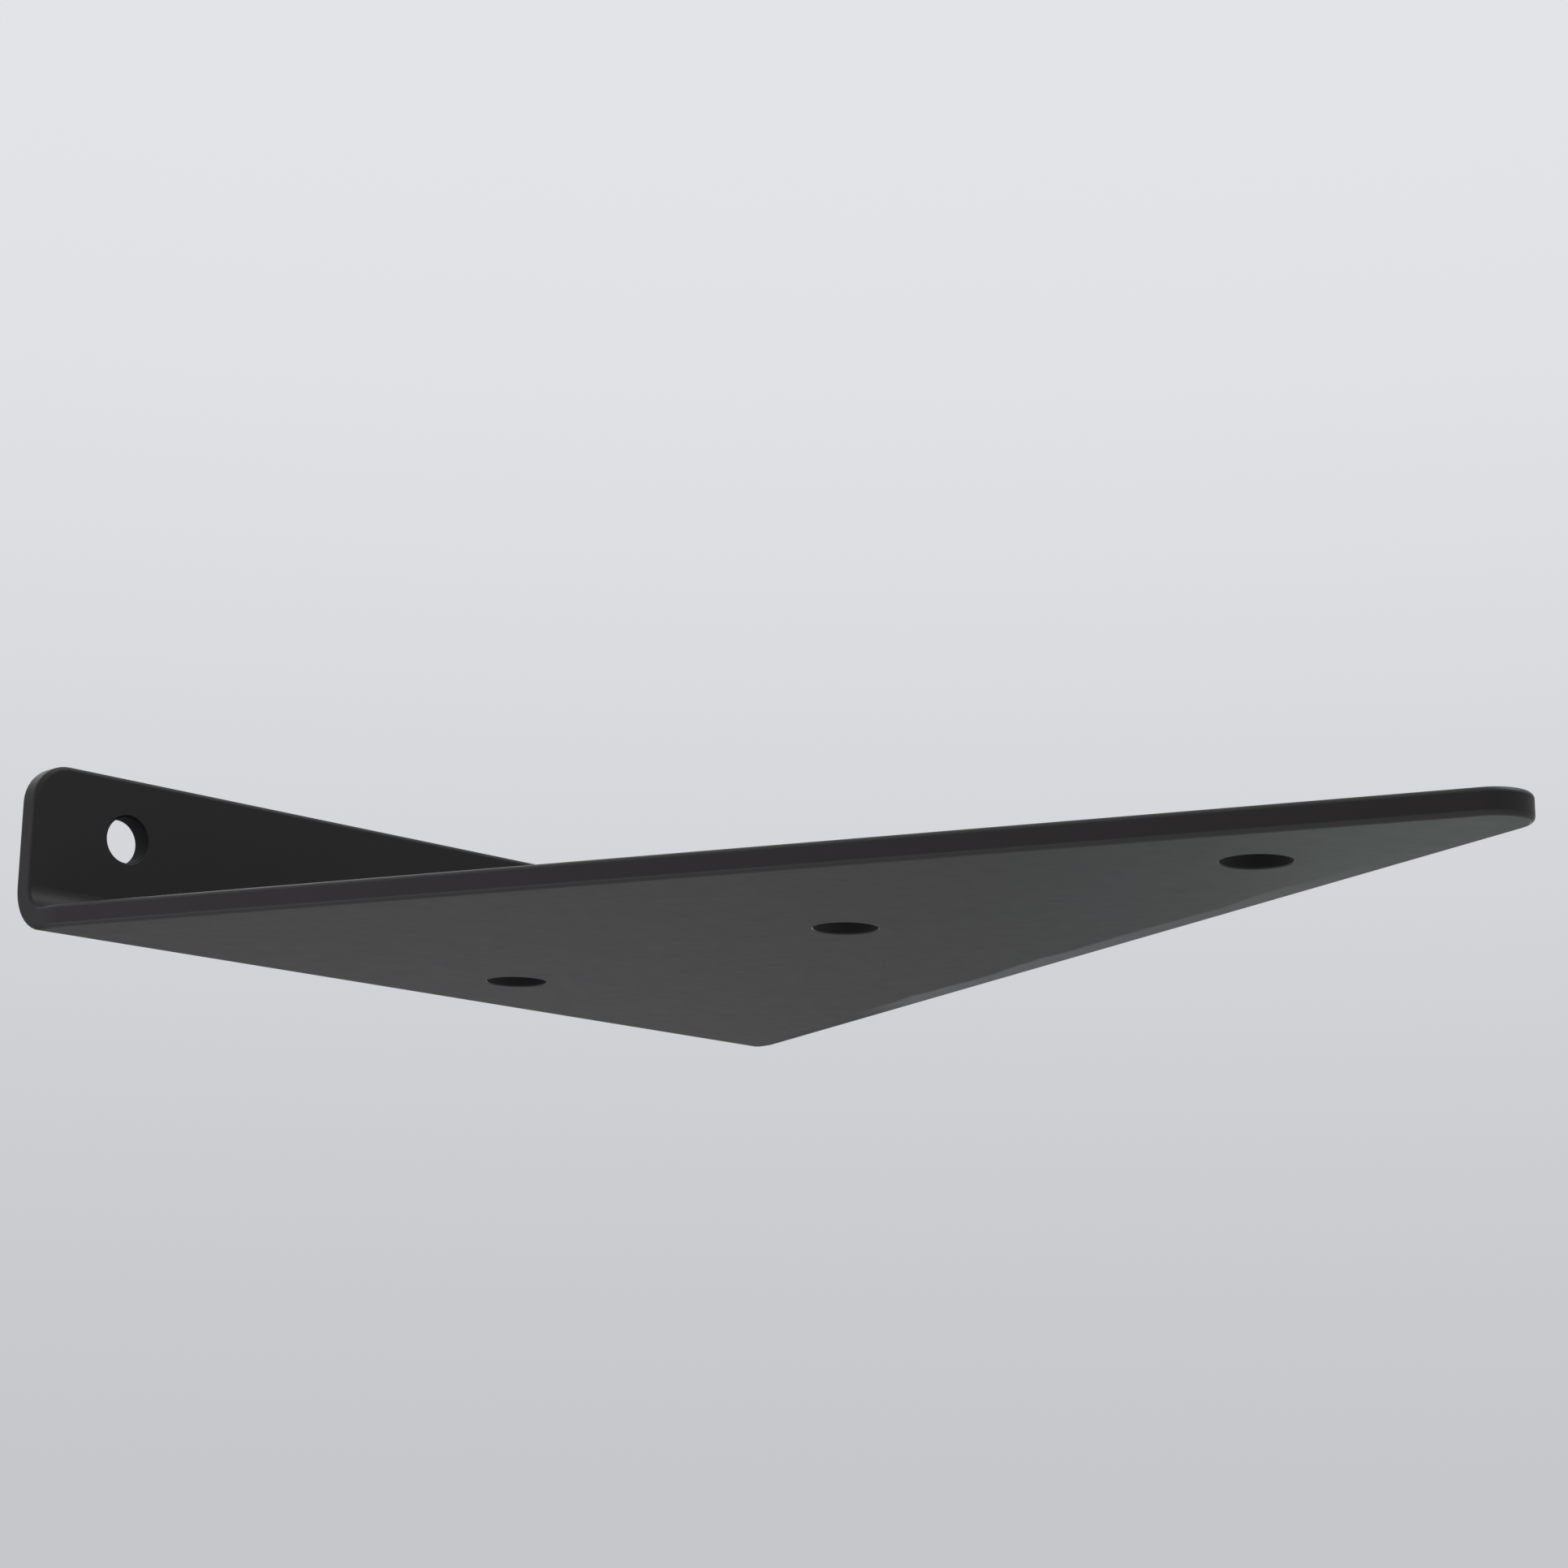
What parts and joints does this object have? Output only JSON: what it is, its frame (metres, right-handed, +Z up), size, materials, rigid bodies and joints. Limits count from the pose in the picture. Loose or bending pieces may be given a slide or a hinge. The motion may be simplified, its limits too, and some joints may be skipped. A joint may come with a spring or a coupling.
{
  "type": "floating shelf bracket",
  "caption": "Folded sheet steel bracket: a flat tapering arm screwed up into a shelf board, and a low flange behind the board that fixes to the wall.",
  "frame": {"origin": "centre of the flange's middle wall hole, on the flange's back face", "axes": "+Y into the wall, so the arm reaches out along -Y; +X along the fold; +Z up, from the arm to the flange's top edge"},
  "size_m": [0.128, 0.175, 0.022],
  "materials": {
    "powder_coat": "satin black powder coat with a very fine orange-peel texture"
  },
  "bodies": {
    "root": {"bracket": "powder_coat"}
  },
  "joints": []
}
